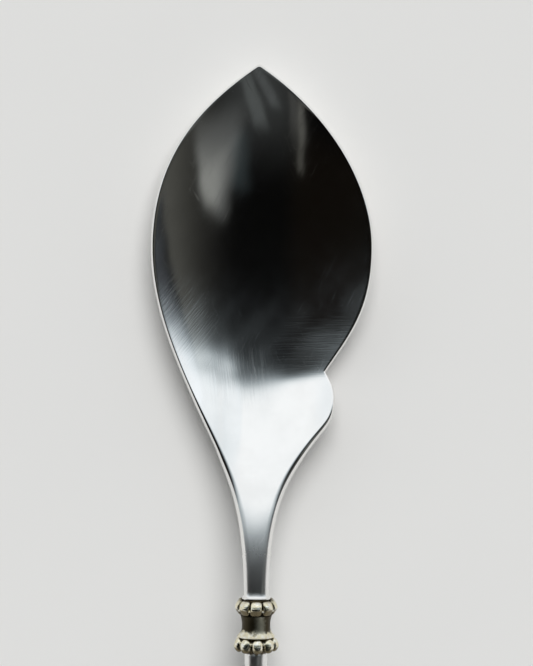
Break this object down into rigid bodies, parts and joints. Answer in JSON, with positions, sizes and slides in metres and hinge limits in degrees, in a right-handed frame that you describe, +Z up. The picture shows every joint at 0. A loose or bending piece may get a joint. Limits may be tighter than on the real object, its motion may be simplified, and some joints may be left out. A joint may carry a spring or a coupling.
{
  "type": "dessert spoon",
  "caption": "Metal dessert spoon with a dished pointed bowl notched on one side, a bar neck, a gilt beaded knop and a slim round stem ending in a bud finial.",
  "frame": {"origin": "centre of the bounding box in plan, on the table that the spoon lies on", "axes": "+Z up out of the open bowl, +Y along the spoon from the handle to the tip, +X to the right of someone looking down with the tip away from them"},
  "size_m": [0.0404, 0.185, 0.0145],
  "materials": {
    "bowl_silver": "polished silver with fine scratches",
    "stem_silver": "polished silver with fine scratches",
    "collar_gilt": "worn gilt, dark in the recesses",
    "bead_gilt": "polished gilt",
    "spool_gilt": "tarnished gilt",
    "finial_gilt": "polished gilt"
  },
  "bodies": {
    "root": {"bowl": "bowl_silver", "stem": "stem_silver", "upper_collar": "collar_gilt", "lower_collar": "collar_gilt", "spool": "spool_gilt", "end_collar": "collar_gilt", "finial": "finial_gilt", "upper_bead_01": "bead_gilt", "upper_bead_02": "bead_gilt", "upper_bead_03": "bead_gilt", "upper_bead_04": "bead_gilt", "upper_bead_05": "bead_gilt", "upper_bead_06": "bead_gilt", "upper_bead_07": "bead_gilt", "upper_bead_08": "bead_gilt", "upper_bead_09": "bead_gilt", "lower_bead_01": "bead_gilt", "lower_bead_02": "bead_gilt", "lower_bead_03": "bead_gilt", "lower_bead_04": "bead_gilt", "lower_bead_05": "bead_gilt", "lower_bead_06": "bead_gilt", "lower_bead_07": "bead_gilt", "lower_bead_08": "bead_gilt", "lower_bead_09": "bead_gilt"}
  },
  "joints": []
}
